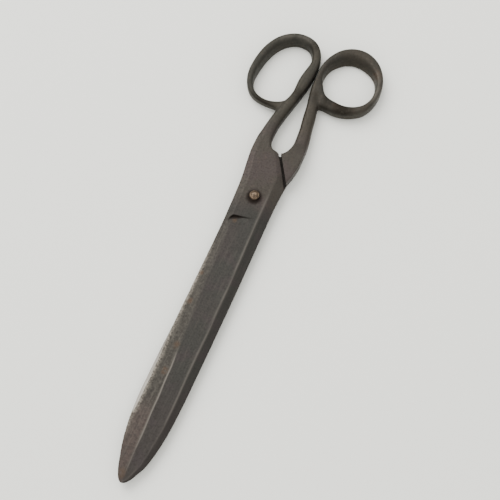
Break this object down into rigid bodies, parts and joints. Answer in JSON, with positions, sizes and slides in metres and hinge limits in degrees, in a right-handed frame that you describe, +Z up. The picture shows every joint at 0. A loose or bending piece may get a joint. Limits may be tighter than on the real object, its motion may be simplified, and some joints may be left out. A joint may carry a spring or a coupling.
{
  "type": "fabric shears",
  "caption": "Long forged fabric shears with a tapered blade on each half, a large oval finger bow and a round thumb bow, turning on a central bolt to cut cloth.",
  "frame": {"origin": "centre of the pivot bolt head's flat underside, on the pivot axis, with the blades closed", "axes": "+Y from the points to the bows, +Z up along the pivot axis from the surface the shears lie on, +X to the thumb bow's side"},
  "size_m": [0.0838, 0.312, 0.0108],
  "materials": {
    "upper_steel": "aged forged steel with a dark brown-grey patina, satin, pitted, worn bright along the edges",
    "lower_steel": "aged forged steel with a dark brown-grey patina, satin, inside face brighter",
    "bolt_steel": "dark brown oxidised steel",
    "washer_steel": "dark brown oxidised steel",
    "nut_steel": "tan-brown worn steel, rounded and slightly uneven"
  },
  "bodies": {
    "finger_side": {"finger_half": "upper_steel", "pivot_bolt": "bolt_steel", "pivot_washer": "washer_steel", "pivot_nut": "nut_steel"},
    "thumb_side": {"thumb_half": "lower_steel"}
  },
  "joints": [
    {"name": "pivot", "type": "hinge", "parent": "finger_side", "child": "thumb_side", "pos_m": [0, 0, 0.0052], "axis": [0, 0, -1], "range_deg": [0, 72]}
  ]
}
